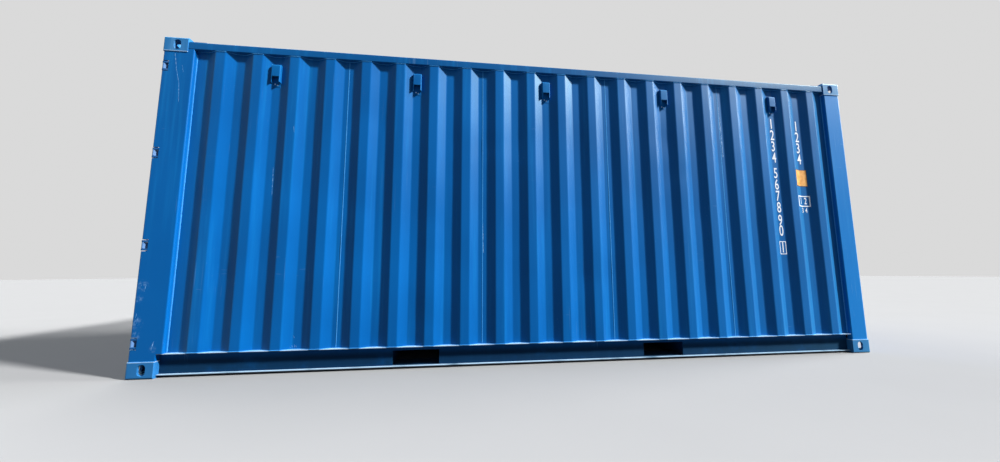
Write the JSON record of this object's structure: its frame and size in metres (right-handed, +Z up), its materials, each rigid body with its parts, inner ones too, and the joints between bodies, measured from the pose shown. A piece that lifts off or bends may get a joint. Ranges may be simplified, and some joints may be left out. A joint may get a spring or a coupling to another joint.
{
  "type": "shipping container",
  "caption": "Closed steel freight container with corrugated walls, corner castings, fork pockets and a pair of hinged rear doors.",
  "frame": {"origin": "middle of the ground face, level with the undersides of the bottom corner castings", "axes": "+X along the length towards the blind front end, +Y towards the left side seen from behind the doors, +Z up"},
  "size_m": [6.058, 2.438, 2.591],
  "materials": {
    "blue_paint": "weathered semi-gloss container paint",
    "frame_paint": "semi-gloss paint with scuffs and rust at the edges",
    "base_paint": "dull paint with dust",
    "locking_steel": "hot-dip galvanised",
    "seal_rubber": "matte black",
    "floor_wood": "oiled plywood"
  },
  "bodies": {
    "shell": {"casting_rear_right_bottom": "frame_paint", "casting_rear_left_bottom": "frame_paint", "casting_front_right_bottom": "frame_paint", "casting_front_left_bottom": "frame_paint", "casting_rear_right_top": "frame_paint", "casting_rear_left_top": "frame_paint", "casting_front_right_top": "frame_paint", "casting_front_left_top": "frame_paint", "rear_post_plates": "frame_paint", "rear_post_channels": "frame_paint", "front_posts": "frame_paint", "door_header": "frame_paint", "door_sill": "frame_paint", "threshold_plate": "locking_steel", "front_top_rail": "frame_paint", "front_sill": "frame_paint", "top_side_rails": "frame_paint", "bottom_side_rail_right": "frame_paint", "bottom_side_rail_left": "frame_paint", "side_wall_right": "blue_paint", "side_wall_left": "blue_paint", "front_wall": "blue_paint", "roof_panel": "blue_paint", "roof_end_plates": "blue_paint", "floor_boards": "floor_wood", "floor_centre_rail": "base_paint", "cross_members": "base_paint", "fork_pocket_plates": "base_paint", "vent_covers": "blue_paint", "lashing_rings": "blue_paint", "hinge_lugs": "frame_paint", "cam_keepers": "locking_steel"},
    "door_right": {"door_frame_right": "blue_paint", "door_panel_right": "blue_paint", "door_gasket_right": "seal_rubber", "door_hinges_right": "locking_steel", "lock_rods_right": "locking_steel", "rod_brackets_right": "locking_steel"},
    "door_left": {"door_frame_left": "blue_paint", "door_panel_left": "blue_paint", "door_gasket_left": "seal_rubber", "door_hinges_left": "locking_steel", "lock_rods_left": "locking_steel", "rod_brackets_left": "locking_steel"}
  },
  "joints": [
    {"name": "door_right_hinge", "type": "hinge", "parent": "shell", "child": "door_right", "pos_m": [-3.015, -1.203, 1.297], "axis": [0, 0, 1], "range_deg": [0, 270]},
    {"name": "door_left_hinge", "type": "hinge", "parent": "shell", "child": "door_left", "pos_m": [-3.015, 1.203, 1.297], "axis": [0, 0, -1], "range_deg": [0, 270]}
  ]
}
